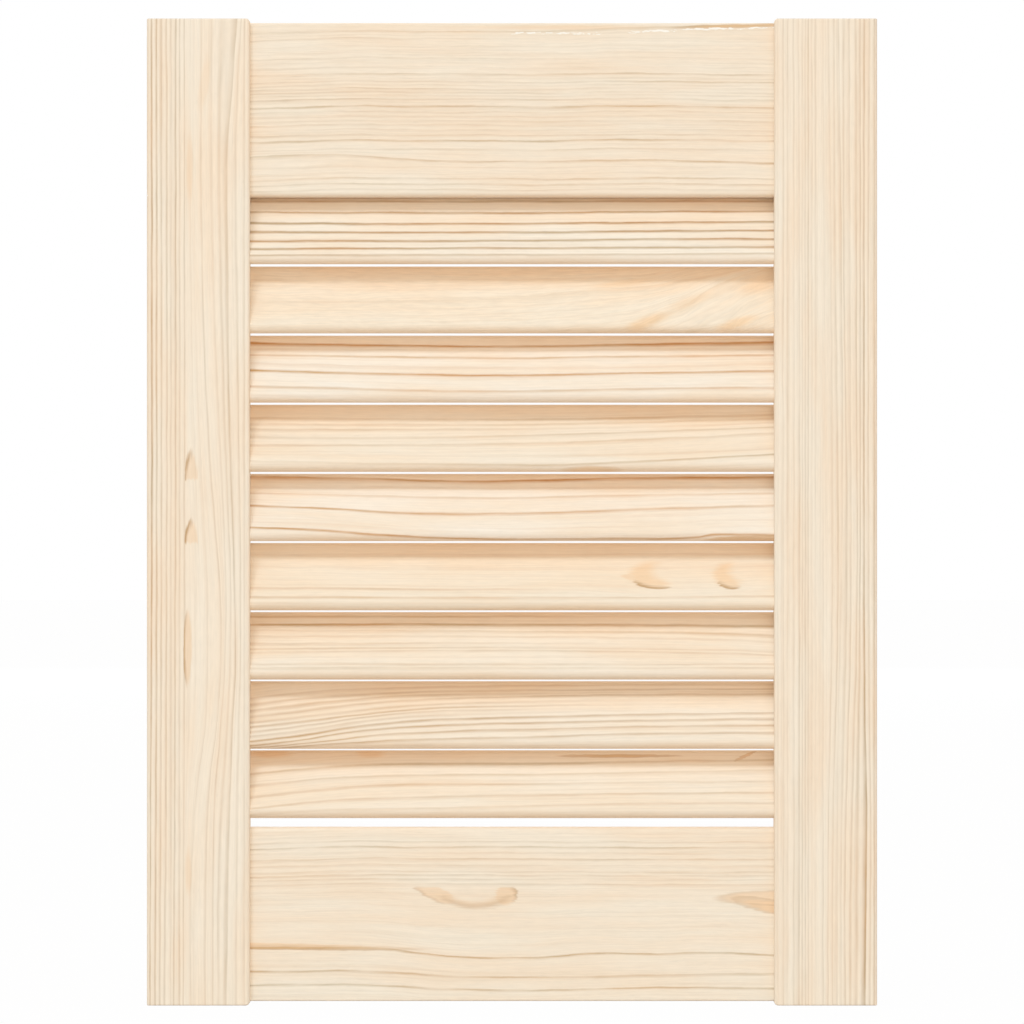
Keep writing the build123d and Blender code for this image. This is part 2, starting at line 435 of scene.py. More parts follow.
def pineBoard(name, board, centre, turn, size):
    # A pine board's material. Its rings are (dark at the near end, dark at the far end, path along
    # the face), lowest first. Between the paths the grain keeps their flow.
    half = size[0] / 2
    board = {**ringHabits, "ends": half, **board}
    material, tree = newMaterial("pine" + name[0].upper() + name[1:])
    objectPlace = addNode(tree, "ShaderNodeTexCoord").outputs
    place = addNode(tree, "ShaderNodeMapping", {
        "Vector": objectPlace["Object"], "Location": centre, "Rotation": turn, "Scale": (mm, mm, mm)},
        vector_type="TEXTURE")
    u, v, w = acrossRings(tree, board, place, size[2])
    field, levels = ringField(tree, [pathOf(ring[2], board["ends"]) for ring in board["rings"]], u, v)
    rings = ringDarkness(tree, board, field, levels, u, half)
    fill, rim = boardMarks(tree, board, place)
    # the strip of lifted fibres: raised in relief, and painted near white as a highlight
    torn = tornFibreHighlightMask(tree, board["torn"], place, u, board["ends"]) if "torn" in board else 0.0

    # sawn ends are darker
    alongGrain = Matrix.Identity(3)
    alongGrain.rotate(turn)
    facing = addNode(tree, "ShaderNodeVectorMath", {0: objectPlace["Normal"], 1: alongGrain.col[0]},
                     operation="DOT_PRODUCT")
    facing = addNode(tree, "ShaderNodeMath", {0: facing.outputs["Value"]}, operation="ABSOLUTE")
    low, high = pine["endFacing"]
    end = addNode(tree, "ShaderNodeMapRange", {"Value": facing, "From Min": low, "From Max": high})

    flow = addNode(tree, "ShaderNodeCombineXYZ", {"X": u, "Y": field, "Z": w})
    seed = [board["seed"] * step for step in pine["seedStep"]]
    changes = {label: linearColour(value) if isinstance(value, str) else value
               for label, value in board.get("wood", {}).items()}
    wood = addNode(tree, "ShaderNodeGroup", {
        "Flow": flow, "Rings": rings, "Marks": fill, "Rims": rim, "End": end, "Torn": torn, "Seed": seed,
        **changes}, node_tree=woodGroup)
    bump = addNode(tree, "ShaderNodeBump", {"Height": wood.outputs["Height"], "Strength": 1.0,
                                            "Distance": pine["relief"] * mm})
    surface = addNode(tree, "ShaderNodeBsdfPrincipled", {
        "Base Color": wood.outputs["Colour"], "Roughness": pine["roughness"], "Normal": bump,
        "IOR": pine["ior"], "Specular IOR Level": pine["specular"]})
    addNode(tree, "ShaderNodeOutputMaterial", {"Surface": surface})
    return material


def standFor(piece, node):
    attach(piece, "root")
    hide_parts(node)


def settle(piece):
    # bakes the modifiers into a plain mesh, so that the piece rides as it is
    depsgraph = bpy.context.evaluated_depsgraph_get()
    finished = bpy.data.meshes.new_from_object(piece.evaluated_get(depsgraph))
    piece.modifiers.clear()
    piece.data = finished
    finished.name = piece.name
    return piece


# The slats and, a little larger, the mortises they are let into
def makeSlatTree():
    group, given, out = newGroup("louvreSlats", "GeometryNodeTree", {
        "Length": ("NodeSocketFloat", 0.22), "Width": ("NodeSocketFloat", 0.03),
        "Thickness": ("NodeSocketFloat", 0.006), "Angle": ("NodeSocketFloat", 1.0),
        "Pitch": ("NodeSocketFloat", 0.028), "Start": ("NodeSocketVector", (0, 0, 0)),
        "Count": ("NodeSocketInt", 9), "Chosen": ("NodeSocketInt", -1),
        "Edge Steps": ("NodeSocketInt", 14), "Material": ("NodeSocketMaterial", None),
    }, {"Geometry": "NodeSocketGeometry"})
    fullRound = 0.49995  # of the thickness: at a full half, the fillets would meet in one point
    radius = addNode(group, "ShaderNodeMath", {0: given["Thickness"], 1: fullRound}, operation="MULTIPLY")
    oblong = addNode(group, "GeometryNodeCurvePrimitiveQuadrilateral",
                     {"Width": given["Width"], "Height": given["Thickness"]})
    section = addNode(group, "GeometryNodeFilletCurve", {
        "Curve": oblong, "Radius": radius, "Count": given["Edge Steps"]}, mode="POLY")
    reach = addNode(group, "ShaderNodeCombineXYZ", {"X": given["Length"]})
    path = addNode(group, "GeometryNodeCurvePrimitiveLine", {"End": reach})
    bar = addNode(group, "GeometryNodeCurveToMesh", {"Curve": path, "Profile Curve": section,
                                                     "Fill Caps": True})
    tilt = addNode(group, "ShaderNodeCombineXYZ", {"X": given["Angle"]})
    slat = addNode(group, "GeometryNodeTransform", {"Geometry": bar, "Rotation": tilt})
    down = addNode(group, "ShaderNodeMath", {0: given["Pitch"], 1: -1.0}, operation="MULTIPLY")
    step = addNode(group, "ShaderNodeCombineXYZ", {"Z": down})
    ladder = addNode(group, "GeometryNodeMeshLine", {
        "Count": given["Count"], "Start Location": given["Start"], "Offset": step})
    number = addNode(group, "GeometryNodeInputIndex")
    same = addNode(group, "FunctionNodeCompare", {"A": number, "B": given["Chosen"]},
                   data_type="INT", operation="EQUAL")
    every = addNode(group, "FunctionNodeCompare", {"A": given["Chosen"], "B": 0},
                    data_type="INT", operation="LESS_THAN")
    wanted = addNode(group, "FunctionNodeBooleanMath", {0: same, 1: every}, operation="OR")
    placed = addNode(group, "GeometryNodeInstanceOnPoints", {
        "Points": ladder, "Selection": wanted, "Instance": slat})
    real = addNode(group, "GeometryNodeRealizeInstances", {"Geometry": placed})
    smooth = addNode(group, "GeometryNodeSetShadeSmooth", {"Geometry": real, "Shade Smooth": True},
                     domain="FACE")
    crease = radians(40)  # only the edges round a slat's ends are sharper
    bend = addNode(group, "GeometryNodeInputMeshEdgeAngle")
    sharp = addNode(group, "FunctionNodeCompare", {"A": bend.outputs["Unsigned Angle"], "B": crease},
                    data_type="FLOAT", operation="GREATER_THAN")
    creased = addNode(group, "GeometryNodeSetShadeSmooth", {"Geometry": smooth, "Selection": sharp,
                                                            "Shade Smooth": False}, domain="EDGE")
    finished = addNode(group, "GeometryNodeSetMaterial", {"Geometry": creased, "Material": given["Material"]})
    group.links.new(finished.outputs[0], out["Geometry"])
    return group


slatTree = makeSlatTree()

slats = {
    "thickness": 6.0, "angle": 60.0,  # rising towards the back
    "housingDepth": 7.4, "housingClearance": 0.1,
    "ends": 105.0,  # where the paths end, just short of the stiles
    "lateWidth": (1.1, 0.8),
    "wood": {"cream": "F4E4CF", "warm": "F4DABB", "late": "CB9D6B", "lateGrey": "C3A479", "Uneven": 0.3},
    "boards": [
        {"seed": 1, "lateWidth": (1.0, 0.75),
         "wood": {"late": "C09366", "lateGrey": "BC9F79", "cream": "F6E7D3", "Uneven": 0.15}, "rings": [
            (0.6, 0.55, [-13.4, (0, -13.0), -12.5]),
            (0.9, 0.85, [-10.3, (0, -9.9), (60, -9.6), -9.5]),
            (0.95, 0.9, [-6.6, (0, -6.4), (60, -5.6), -5.6]),
            (0.95, 0.9, [-2.3, (0, -2.5), (70, -1.8), -1.8]),
            (0.95, 0.9, [1.9, (0, 1.5), (60, 2.3), 2.4]),
            (0.9, 0.9, [7.0, (0, 6.6), (60, 7.1), 7.1]),
            (0.8, 0.8, 12.0)]},
        {"seed": 2, "sway": 0.6, "lateWidth": (2.6, 2.0), "rings": [
            (0.1, 0.16, [-30, (50, -24), (80, -14), (88, -10), (92, -6), 1]),
            (0.1, 0.16, [-20, (20, -18), (50, -14), (60, -9), (70, -4), (76, 1), (86, 7), 13]),
            (0.15, 0.2, [-2.6, (-50, -2.2), (0, -1.2), (30, 1.5), (58, 4.5), (75, 8), 16]),
            (0.12, 0.12, [7.3, (40, 7.3), (60, 9), (75, 12), 20])],
         "wood": {"cream": "F4E3CC", "Wrinkles": 0.18, "late": "D09F68", "lateGrey": "CCA878"},
         "marks": [
            {"fill": 0.6, "Centre": (54, -12, 3), "Size": (15, 3.8, 5), "Turn": 0.45, "Softness": 0.8},
            {"fill": 0.35, "Centre": (70, -3, 3), "Size": (15, 3.6, 5), "Turn": 0.4, "Softness": 0.9},
            {"fill": 0.6, "Centre": (90, -12.5, 3), "Size": (13, 3.2, 5), "Turn": 0.35, "Softness": 0.8},
            {"fill": 0.4, "Centre": (45, 6, 3), "Size": (18, 2.4, 5), "Turn": 0.12, "Softness": 0.9},
            {"fill": 0.45, "Centre": (99, 5, 3), "Size": (14, 6, 5), "Turn": 0.2, "Softness": 0.9}]},
        {"seed": 3, "wood": {"cream": "F5E7D5", "late": "C88F56", "lateGrey": "C69A66"}, "rings": [
            (0.55, 0.5, [-9.8, (-60, -11.2), (-15, -12.3), (20, -11.7), (60, -10.8), -10.6]),
            (0.9, 0.8, [-2.3, (-65, -3.6), (-20, -4.6), (0, -4.7), (35, -3.8), -2.7]),
            (0.2, 0.2, [1, (0, -1.3), 0.8]),
            (0.55, 0.6, [4.9, (-40, 3.8), (0, 3.3), (40, 4.0), (80, 4.5), 4.6]),
            (0.15, 0.15, 7.2),
            (0.95, 0.95, [10.6, (-60, 9.4), (0, 8.8), (40, 9.5), 10.8])]},
        {"seed": 4, "wood": {"cream": "F3E2CC"}, "rings": [
            (0.2, 0.65, [-12.4, (-60, -13.5), (-20, -14), (20, -14), (50, -12.5), -9.2]),
            (0.1, 0.3, [-9, (20, -9.8), (70, -8.5), -6.5]),
            (0.4, 0.4, [-4.8, (-40, -4.9), (20, -3.7), (60, -1.9), 0.6]),
            (0.35, 0.45, [-1.2, (-40, -1.5), (20, 0), (60, 1.7), 3.3]),
            (0.35, 0.25, [2.3, (-40, 2.2), (20, 2.8), 5.3]),
            (0.35, 0.3, [4.8, (20, 4.9), 7.1]),
            (0.4, 0.5, [7.7, (20, 7.1), (60, 8), 9.1])],
         "marks": [
            {"fill": 0.45, "rim": 0.15, "Rim From": -3.0, "Centre": (32, -15.6, 0), "Size": (14, 1.9, 5),
             "Softness": 0.5}]},
        {"seed": 5, "wood": {"cream": "F5E7D5", "late": "C88F56", "lateGrey": "C69A66"}, "rings": [
            (0.9, 0.85, [-10.9, (-78, -12.2), (-55, -14.2), (-20, -16.5), (40, -16.5),
                         (75, -15.6), (80, -14.4), (88, -14.2), -14.7]),
            (0.85, 0.6, [-1.0, (-75, -2.2), (-45, -4.3), (-15, -4.7), (25, -3.7), (55, -2.4), -0.8]),
            (0.4, 0.4, [5.1, (-60, 3.8), (-10, 2.6), (35, 3.6), (80, 4.4), 4.6]),
            (0.2, 0.2, 7.3),
            (0.9, 0.9, [12.6, (-60, 11.6), (-20, 10.4), (0, 10.5), (30, 11.5), 12.3])],
         "marks": [
            {"fill": 0.55, "rim": 0.3, "Rim From": -3.0, "Centre": (98, -16.6, 0), "Size": (25, 2.9, 5),
             "Softness": 0.2}]},
        {"seed": 6, "wood": {"cream": "F3E2CB", "late": "CC9862", "lateGrey": "CBA271"}, "rings": [
            (0.5, 0.4, [-11.2, (-20, -11.5), -10.7]),
            (0.4, 0.05, [-6.8, (-20, -7.7), (20, -7.7), (60, -9.5), -8]),
            (0.15, 0.1, [3.0, (0, 2.2), 3.5]),
            (0.2, 0.2, 8.5)],
         "marks": [
            {"fill": 0.55, "Centre": (56, -0.6, 3), "Size": (11.5, 7.2, 5), "Softness": 0.5,
             "Inner Centre": (66, 0.6, 3), "Inner Size": (13, 7.4, 9)},
            {"fill": 0.4, "Centre": (49, -2.0, 3), "Size": (6.5, 1.6, 5), "Turn": -0.1},
            {"fill": 0.5, "rim": 0.85, "Rim From": 0.2, "Centre": (57, -4.5, 3), "Size": (8.5, 3.1, 5),
             "Turn": -0.1, "Softness": 0.7, "Lean": (-0.3, -0.95, 0)},
            {"fill": 0.55, "Centre": (87.5, -0.8, 3), "Size": (8.4, 7.2, 5), "Softness": 0.5,
             "Inner Centre": (95, 1.0, 3), "Inner Size": (10, 7.4, 9)},
            {"fill": 0.5, "rim": 0.85, "Rim From": 0.2, "Centre": (88, -4.7, 3), "Size": (5.2, 3.1, 5),
             "Turn": -0.1, "Softness": 0.7, "Lean": (-0.3, -0.95, 0)}]},
        {"seed": 7, "rings": [
            (0.35, 0.3, -11.9), (0.3, 0.3, -10.2),
            (0.3, 0.35, [-4.6, (80, -5), -6.2]),
            (0.3, 0.3, [-3.3, (80, -3.6), -4.5]),
            (0.35, 0.1, [-1, (80, -1.6), -2.6]),
            (0.3, 0.3, [2.7, (20, 2.2), (80, 1.2), -0.2]),
            (0.35, 0.5, [5.5, (20, 4.7), (80, 4), 2.8]),
            (0.85, 0.7, [8.1, (60, 7.8), 7.1]),
            (0.6, 0.2, 11.8)]},
        {"seed": 8, "wood": {"late": "C8A075", "lateGrey": "C5A47F"}, "rings": [
            (0.7, 0.6, [-19, (-60, -14.2), (-30, -12.9), (5, -12), (50, -10.3), -10]),
            (0.75, 0.6, [-17.5, (-75, -14), (-55, -11.2), (-30, -9.6), (10, -8.3), (60, -6.9), -6.5]),
            (0.8, 0.6, [-16.3, (-90, -14.3), (-70, -10.6), (-50, -7.9), (-30, -6.5), (10, -5.3),
                         (70, -4), -3.7]),
            (0.9, 0.6, [-13.9, (-80, -10.6), (-60, -7), (-40, -4.6), (-10, -3.3), (20, -2.3),
                         (50, -1.5), -0.7]),
            (0.5, 0.0, [-11.6, (-80, -8.2), (-60, -4.6), (-40, -2.4), (-10, -1.2), (50, 0.2), 0.6]),
            (0.5, 0.0, [-9.6, (-80, -6.2), (-60, -2.8), (-40, -0.6), (-10, 0.6), (50, 1.6), 2]),
            (0.7, 0.1, [-7.2, (-80, -4.2), (-60, -1.4), (-40, 0.8), (-10, 2.2), (50, 3.3), 4]),
            (0.5, 0.15, [-5, (-80, -2.2), (-60, 0.6), (-40, 2.6), (-10, 4), (50, 5), 5.4]),
            (0.5, 0.5, [-2.8, (-80, 0.6), (-60, 3.4), (-40, 5), (-10, 6.5), (40, 7.6), 7.9]),
            (0.45, 0.2, [0, (-80, 3.6), (-60, 5.6), (-40, 7.2), (-10, 8), (50, 8.8), 9.1]),
            (0.5, 0.45, [2.8, (-80, 6.2), (-60, 7.7), (-40, 8.6), (-10, 9.4), (50, 9.9), 10.2]),
            (0.3, 0.3, [6, (-80, 9), (-50, 10.6), (0, 11.8), 12.4])]},
        {"seed": 9, "rings": [
            (0.2, 0.35, [-16, (-80, -14), (-30, -12.8), (40, -10.8), -10.5]),
            (0.4, 0.35, [-13, (-75, -9.7), (-40, -7.8), (0, -6.9), (60, -6), -5.7]),
            (0.45, 0.3, [-7.6, (-80, -4.6), (-50, -2), (0, -1.8), (60, -0.8), -0.5]),
            (0.4, 0.3, [-2.6, (-85, -0.2), (-65, 1.5), (-30, 2.5), (20, 2.9), (80, 4.2), 4.5]),
            (0.6, 0.5, [2.9, (-80, 5.6), (-60, 7), (-30, 7.6), (20, 7.8), (60, 8.8), 9.5])],
         "marks": [
            {"fill": 0.6, "rim": 0.4, "Rim From": -3.0, "Centre": (43, 11.3, 3), "Size": (26, 0.9, 4),
             "Softness": 0.8},
            {"fill": 0.5, "rim": 0.3, "Rim From": -1.0, "Centre": (94, 11.4, 3), "Size": (5.5, 0.9, 4),
             "Turn": 0.5, "Softness": 0.6},
            {"fill": 0.6, "Centre": (-97, 12.5, 3), "Size": (12, 3.0, 4), "Softness": 0.7},
            {"fill": 0.5, "Centre": (-57, 12.5, 3), "Size": (8, 2.8, 4), "Softness": 0.7}]},
    ],
}


def buildSlats():
    # sizes that the frame holds: the first slat's box gives the width, the next one the pitch
    firstLow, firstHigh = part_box("slat_1")
    secondLow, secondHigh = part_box("slat_2")
    thickness, angle = slats["thickness"] * mm, radians(slats["angle"])
    width = (firstHigh.z - firstLow.z - thickness) / sin(angle) + thickness
    pitch = firstLow.z - secondLow.z
    start = Vector((firstLow.x, 0, (firstLow.z + firstHigh.z) / 2))
    count = len(slats["boards"])
    sizes = {"Width": width, "Thickness": thickness, "Angle": angle, "Pitch": pitch, "Count": count}
    for i, board in enumerate(slats["boards"]):
        centre = Vector((doorCentre.x, 0, start.z - i * pitch))
        turn = Matrix.Rotation(angle, 3, "X").to_euler()
        length = firstHigh.x - firstLow.x
        wood = {**slats["wood"], **board.get("wood", {})}
        board = {"lateWidth": slats["lateWidth"], "ends": slats["ends"], **board, "wood": wood}
        size = (length / mm, width / mm, slats["thickness"])
        material = pineBoard(f"slat{i + 1}", board, centre, turn, size)
        piece = grow(f"slat{i + 1}", slatTree, {
            **sizes, "Length": length, "Start": start, "Chosen": i, "Material": material})
        standFor(piece, f"slat_{i + 1}")
    print("slats:", count, "of", round(width / mm, 2), "mm at", round(pitch / mm, 2), "mm")
    return sizes, start


def grow(name, tree, values):
    # an object made by a geometry tree, its inputs set by identifier before it is first evaluated
    piece = addObject(name, bpy.data.meshes.new(name))
    modifier = piece.modifiers.new("tree", "NODES")
    modifier.node_group = tree
    for item in tree.interface.items_tree:
        if item.in_out == "INPUT" and item.name in values:
            modifier[item.identifier] = values[item.name]
    return settle(piece)


slatSizes, slatStart = buildSlats()


def easedBoard(name, low, high, easings):
    # a squared board whose twelve arrises are each rounded by their own radius
    mesh = bpy.data.meshes.new(name)
    board = bmesh.new()
    middle = (low + high) / 2
    size = high - low
    bmesh.ops.create_cube(board, size=1.0, matrix=Matrix.Translation(middle) @ Matrix.Diagonal((*size, 1)))
    weights = board.edges.layers.float.new("bevel_weight_edge")
    largest = max(easings.values())
    for edge in board.edges:
        side = (edge.verts[0].co + edge.verts[1].co) / 2 - middle
        key = "".join("0" if abs(side[i]) < 1e-6 else "+" if side[i] > 0 else "-" for i in range(3))
        edge[weights] = easings.get(key, 0.0) / largest
    board.to_mesh(mesh)
    board.free()
    piece = addObject(name, mesh)
    rounding = piece.modifiers.new("arrises", "BEVEL")
    rounding.limit_method = "WEIGHT"
    rounding.width = largest * mm
    rounding.segments = 6
    rounding.use_clamp_overlap = False
    return settle(piece)


def cutOut(piece, cutter):
    # takes the cutter out of the piece, and shades flat faces flat and rounded arrises round
    cut = piece.modifiers.new("joints", "BOOLEAN")
    cut.operation = "DIFFERENCE"
    cut.solver = "EXACT"
    cut.object = cutter
    settle(piece)
    bpy.data.objects.remove(cutter)
    piece.data.shade_smooth()
    crease = radians(35)  # more than between an arris's facets, less than at a sawn corner
    piece.data.set_sharp_from_angle(angle=crease)
    even = piece.modifiers.new("evenShading", "WEIGHTED_NORMAL")
    even.keep_sharp = True
    return settle(piece)


def dowelHoles(dowels, clearance, endClearance):
    # the bored holes, as round bars in the dowels' places
    bores = bmesh.new()
    for node in dowels:
        low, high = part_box(node)
        radius = (high.z - low.z) / 2 + clearance * mm
        bmesh.ops.create_cone(
            bores, cap_ends=True, segments=32, radius1=radius, radius2=radius,
            depth=high.x - low.x + 2 * endClearance * mm,
            matrix=Matrix.Translation((low + high) / 2) @ Matrix.Rotation(pi / 2, 4, "Y"))
    return bores


def dressBoard(piece, node, board, turn, order):
    # the piece's own board of pine, whose sides along u, v and depth are given by their axes
    low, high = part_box(node)
    size = [(high - low)[axis] / mm for axis in order]
    piece.data.materials.clear()
    piece.data.materials.append(pineBoard(piece.name, board, (low + high) / 2, turn, size))
    standFor(piece, node)


# The uprights. Their grain runs down, and v is across the face to the right
stiles = {
    "arris": 1.5, "endArris": 0.5, "horn": 1.6,
    "boreClearance": 0.05, "boreEndClearance": 0.5,
    "wood": {"late": "C8A27A", "lateGrey": "BDA585", "Uneven": 0.3},
    "boards": {
        "leftStile": {"seed": 21, "sway": 0.15, "lateWidth": (0.65, 0.5), "heart": (-75.0, 30.0), "rings": [
            (0.1, 0.1, -20.0), (0.9, 0.8, [-18.8, (60, -18.8), (130, -19.3), -19.5]),
            (0.7, 0.65, [-16.8, (60, -16.8), -17.4]),
            (0.5, 0.45, [-14.9, (60, -14.9), -15.5]),
            (0.45, 0.4, [-12.8, (60, -12.8), -13.7]), (0.35, 0.3, -11.0),
            (0.6, 0.55, [-9.1, (60, -9.3), -10.0]), (0.4, 0.35, -7.5),
            (0.45, 0.4, [-5.5, (60, -5.6), -6.0]),
            (0.1, 0.25, [-2, (-100, -1.5), (-40, 0), (0, 2), (30, 3.4), (60, 3.6), (85, 2.8),
                         (105, 0.2), (125, -2), -3]),
            (0.3, 0.3, [1.2, (-100, 1.4), (-65, 2.3), (-30, 4), (0, 6.2), (30, 8.6), (55, 9.2),
                        (80, 8), (105, 5), (125, 3.6), (150, 3), 2.8]),
            (0.2, 0.3, [5.2, (-100, 5.8), (-40, 8), (0, 10), (30, 11), (60, 10.6), (85, 9),
                        (115, 6.5), (150, 6), 5.8]),
            (0.3, 0.3, [9.4, (-150, 8.3), (-100, 8.9), (-40, 10.6), (0, 12), (30, 13), (60, 12.6),
                        (90, 11.4), (125, 8.8), 8]),
            (0.5, 0.45, [15.4, (-170, 13.5), (-150, 11.8), (-100, 11.6), (-60, 12), (-10, 13.2),
                         (20, 14.2), (60, 14.9), (90, 13.5), (120, 12.5), (160, 11.5), 11]),
            (0.3, 0.25, [17.2, (-150, 15), (-60, 15.8), (50, 17), (120, 15.6), 15]),
            (0.3, 0.25, 18.5)],
            "marks": [
            {"fill": 0.35, "rim": 0.75, "Rim From": 0.5, "Centre": (-13, -2.7, 10), "Size": (12.5, 2.9, 8),
             "Cut": (1, 0, 0), "Cut Place": -12.6, "Lean": (-0.3, -0.95, 0)},
            {"fill": 0.35, "rim": 0.9, "Rim From": 0.45, "Centre": (12.5, -2.7, 10), "Size": (10, 3.0, 8),
             "Cut": (1, 0, 0), "Cut Place": 12.8, "Lean": (-0.3, -0.95, 0)},
            {"fill": 0.4, "rim": 0.7, "Rim From": 0.4, "Centre": (54.5, -4.2, 10), "Size": (17, 1.9, 8),
             "Lean": (0.0, -1.0, 0)},
            {"fill": 0.25, "Centre": (-138, -3.4, 10), "Size": (18, 1.8, 8), "Softness": 0.6},
            {"fill": 0.25, "Centre": (144, -4, 10), "Size": (12, 1.8, 8), "Softness": 0.6},
            {"fill": 0.2, "Centre": (-172, 2.5, 10), "Size": (14, 2.6, 8), "Turn": -0.12,
             "Softness": 0.6}]},
        "rightStile": {"seed": 22, "sway": 0.15, "heart": (-80.0, 36.0), "rings": [
            (0.15, 0.15, -19.2), (0.3, 0.15, -17.0), (0.3, 0.2, -15.2), (0.2, 0.3, -12.7),
            (0.25, 0.45, [-11, (20, -10.4), (80, -10.6), -10.7]), (0.25, 0.35, -9.3),
            (0.25, 0.35, -8.1), (0.4, 0.3, -7.0), (0.25, 0.15, -5.5), (0.25, 0.1, -4.0), (0.1, 0.2, -1.0),
            (0.15, 0.35, [1.2, (0, 2.6), (40, 2.6), (90, 1.8), (140, 1.0), 1.0]),
            (0.35, 0.3, [3.4, (-100, 3.7), (0, 5), (60, 4.6), (110, 3.2), 2.8]),
            (0.3, 0.2, [5, (0, 6.6), (40, 5.9), (100, 4.9), 4.6]),
            (0.35, 0.3, [7.3, (-100, 7.2), (0, 8.4), (60, 7.9), (130, 6.4), 6.2]),
            (0.3, 0.4, [9.4, (-60, 9.8), (0, 10.1), (60, 9.8), (90, 9), (130, 8), 7.8]),
            (0.4, 0.4, [12, (-60, 12.4), (40, 12.6), (80, 11.6), (140, 10.1), 9.8]),
            (0.45, 0.4, [13.8, (0, 13.8), (60, 13.6), (120, 12.8), 12.2]),
            (0.7, 0.95, [15.5, (0, 15.5), (90, 15.9), (110, 16.4), (150, 16.2), 15.7]),
            (0.4, 0.4, [17.5, (90, 17.6), (120, 18), 17.7]), (0.45, 0.5, 19.5)]},
    },
}


def buildStile(name, node, otherNodes):
    low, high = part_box(node)
    inner, outer = ("+", "-") if name == "leftStile" else ("-", "+")
    easings = {side + end: stiles["arris"] for side in ("-", "+") for end in ("-0", "+0")}
    easings.update({"0" + face + end: stiles["endArris"] for face in "-+" for end in "-+"})
    easings.update({outer + "0" + end: stiles["endArris"] for end in "-+"})
    easings.update({inner + "0" + end: stiles["horn"] for end in "-+"})
    piece = easedBoard(name, low, high, easings)

    past = 2.0 * mm  # the cutter runs on past the stile's inner edge
    depth = slats["housingDepth"] * mm
    clearance = 2 * slats["housingClearance"] * mm
    startX = high.x - depth if inner == "+" else low.x - past
    cutter = grow(name + "Mortises", slatTree, {
        **slatSizes, "Width": slatSizes["Width"] + clearance,
        "Thickness": slatSizes["Thickness"] + clearance,
        "Length": depth + past, "Start": Vector((startX, 0, slatStart.z))})
    bores = dowelHoles(otherNodes, stiles["boreClearance"], stiles["boreEndClearance"])
    bores.from_mesh(cutter.data)
    bores.to_mesh(cutter.data)
    bores.free()
    cutOut(piece, cutter)

    downwards = Matrix(((0, 1, 0), (0, 0, -1), (-1, 0, 0))).to_euler()
    dressBoard(piece, node, {"wood": stiles["wood"], **stiles["boards"][name]}, downwards, (2, 0, 1))


sideDowels = {side: [name for name in sorted(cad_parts) if f"_{side}_dowel_" in name]
              for side in ("left", "right")}
buildStile("leftStile", "left_stile", sideDowels["left"])
buildStile("rightStile", "right_stile", sideDowels["right"])
print("stiles: two, mortised for the slats and bored for the dowels")


